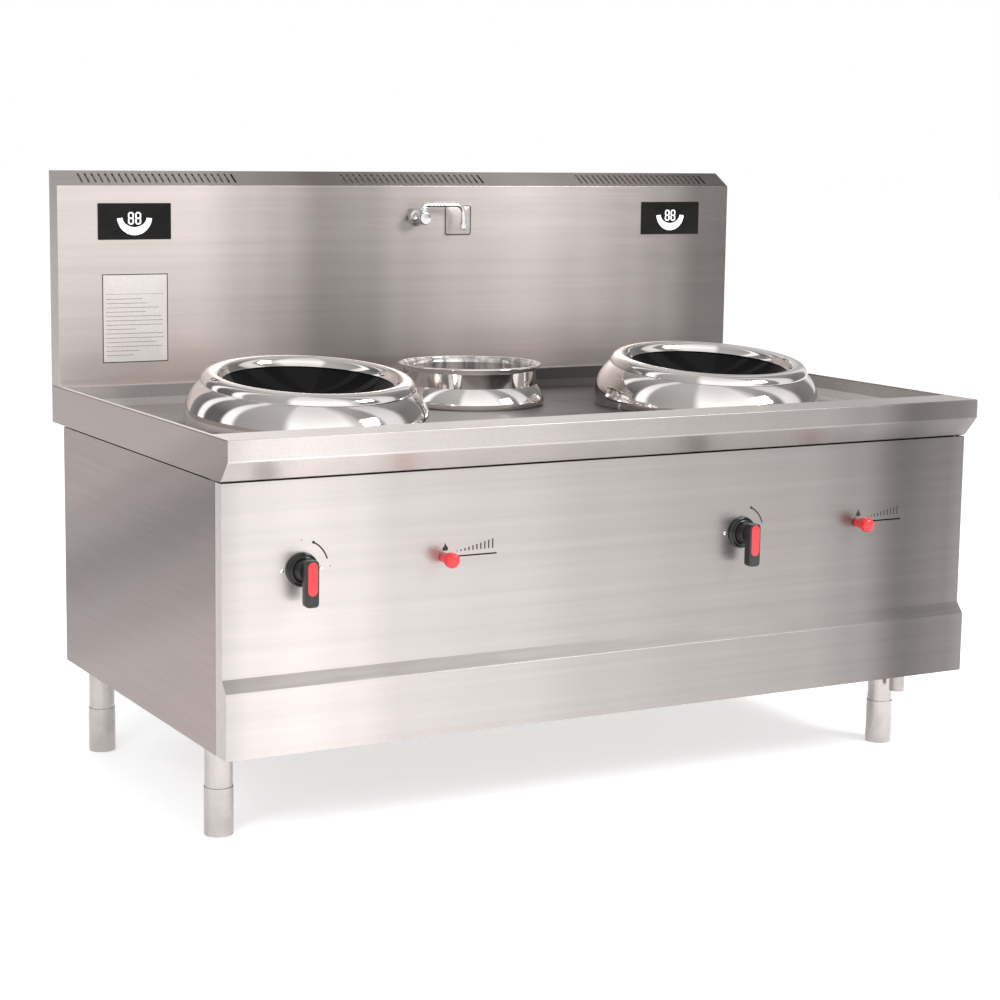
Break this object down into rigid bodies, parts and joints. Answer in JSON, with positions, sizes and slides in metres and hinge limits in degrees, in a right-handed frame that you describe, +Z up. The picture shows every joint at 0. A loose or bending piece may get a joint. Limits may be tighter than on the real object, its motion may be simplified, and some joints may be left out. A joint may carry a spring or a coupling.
{
  "type": "wok range",
  "caption": "Free-standing stainless induction wok range with tilted black glass wok wells, a lift-out soup pot, a sunken tray, lever switches, power sliders and a vented backsplash with a tap.",
  "frame": {"origin": "on the floor under the middle of the overall outline", "axes": "+Z up, the control panel faces -Y, +X to the right of someone facing the range"},
  "size_m": [1.8, 1.0703, 1.31],
  "materials": {
    "stainless": "brushed stainless sheet, vertical grain",
    "polished_steel": "mirror-polished stainless",
    "chrome_fitting": "polished chrome plate",
    "black_glass": "gloss black glass ceramic",
    "display_glass": "gloss black display window",
    "switch_plastic": "satin black",
    "red_plastic": "gloss red",
    "gasket_rubber": "matt black silicone",
    "copper_winding": "lacquered litz wire",
    "carrier_plastic": "moulded heat-proof plastic",
    "aluminium_case": "plain folded aluminium",
    "fan_plastic": "matt black",
    "board_plastic": "dark board housing",
    "frame_steel": "grey paint"
  },
  "bodies": {
    "range_body": {"worktop": "stainless", "tray": "stainless", "backsplash_shell": "stainless", "backsplash_rear_cover": "stainless", "front_panel": "stainless", "rear_panel": "stainless", "bottom_pan": "stainless", "cabinet_frame": "frame_steel", "front_left_leg": "stainless", "back_left_leg": "stainless", "front_right_leg": "stainless", "back_right_leg": "stainless", "left_side_panel": "stainless", "left_wok_collar": "polished_steel", "left_wok_rim": "polished_steel", "left_glass_bowl": "black_glass", "left_induction_coil": "copper_winding", "left_switch_base": "switch_plastic", "left_inverter_case": "aluminium_case", "left_fan_frame": "fan_plastic", "right_side_panel": "stainless", "right_wok_collar": "polished_steel", "right_wok_rim": "polished_steel", "right_glass_bowl": "black_glass", "right_induction_coil": "copper_winding", "right_switch_base": "switch_plastic", "right_inverter_case": "aluminium_case", "right_fan_frame": "fan_plastic", "bowl_gaskets": "gasket_rubber", "coil_carriers": "carrier_plastic", "pot_collar": "polished_steel", "switch_contact_blocks": "switch_plastic", "slider_housings": "switch_plastic", "left_display_window": "display_glass", "right_display_window": "display_glass", "display_modules": "board_plastic", "notice_plate": "stainless", "badge_plate": "stainless", "tap_body": "chrome_fitting", "water_supply_pipe": "stainless", "drain_pipe": "stainless", "cable_gland": "fan_plastic", "panel_screws": "chrome_fitting"},
    "front_left_foot_body": {"front_left_foot": "stainless"},
    "front_right_foot_body": {"front_right_foot": "stainless"},
    "back_left_foot_body": {"back_left_foot": "stainless"},
    "back_right_foot_body": {"back_right_foot": "stainless"},
    "left_lever_body": {"left_switch_lever": "switch_plastic", "left_lever_insert": "red_plastic"},
    "right_lever_body": {"right_switch_lever": "switch_plastic", "right_lever_insert": "red_plastic"},
    "left_slider_body": {"left_slider_knob": "red_plastic", "left_slider_carriage": "stainless"},
    "right_slider_body": {"right_slider_knob": "red_plastic", "right_slider_carriage": "stainless"},
    "spout_body": {"tap_spout": "chrome_fitting"},
    "tap_lever_body": {"tap_lever": "chrome_fitting"},
    "pot_body": {"soup_pot": "polished_steel"},
    "left_rotor_body": {"left_fan_rotor": "fan_plastic"},
    "right_rotor_body": {"right_fan_rotor": "fan_plastic"}
  },
  "joints": [
    {"name": "front_left_foot_screw", "type": "slide", "parent": "range_body", "child": "front_left_foot_body", "axis": [0, 0, -1], "range_m": [0, 0.03]},
    {"name": "front_right_foot_screw", "type": "slide", "parent": "range_body", "child": "front_right_foot_body", "axis": [0, 0, -1], "range_m": [0, 0.03]},
    {"name": "back_left_foot_screw", "type": "slide", "parent": "range_body", "child": "back_left_foot_body", "axis": [0, 0, -1], "range_m": [0, 0.03]},
    {"name": "back_right_foot_screw", "type": "slide", "parent": "range_body", "child": "back_right_foot_body", "axis": [0, 0, -1], "range_m": [0, 0.03]},
    {"name": "left_switch_turn", "type": "hinge", "parent": "range_body", "child": "left_lever_body", "pos_m": [-0.733, -0.47905, 0.564], "axis": [0, 1, 0], "range_deg": [0, 90]},
    {"name": "right_switch_turn", "type": "hinge", "parent": "range_body", "child": "right_lever_body", "pos_m": [0.294, -0.47905, 0.564], "axis": [0, 1, 0], "range_deg": [0, 90]},
    {"name": "left_power_slide", "type": "slide", "parent": "range_body", "child": "left_slider_body", "axis": [1, 0, 0], "range_m": [0, 0.1174]},
    {"name": "right_power_slide", "type": "slide", "parent": "range_body", "child": "right_slider_body", "axis": [1, 0, 0], "range_m": [0, 0.1174]},
    {"name": "spout_swing", "type": "hinge", "parent": "range_body", "child": "spout_body", "pos_m": [-0.004, 0.43995, 1.201], "axis": [0, 0, -1], "range_deg": [0, 175]},
    {"name": "tap_lever_turn", "type": "hinge", "parent": "range_body", "child": "tap_lever_body", "pos_m": [-0.019, 0.46195, 1.201], "axis": [-1, 0, 0], "range_deg": [0, 90]},
    {"name": "pot_lift", "type": "slide", "parent": "range_body", "child": "pot_body", "axis": [0, 0, 1], "range_m": [0, 0.25]},
    {"name": "left_fan_spin", "type": "hinge", "parent": "range_body", "child": "left_rotor_body", "pos_m": [-0.5125, 0.14395, 0.3125], "axis": [0, 1, 0], "continuous": true},
    {"name": "right_fan_spin", "type": "hinge", "parent": "range_body", "child": "right_rotor_body", "pos_m": [0.5125, 0.14395, 0.3125], "axis": [0, 1, 0], "continuous": true}
  ]
}
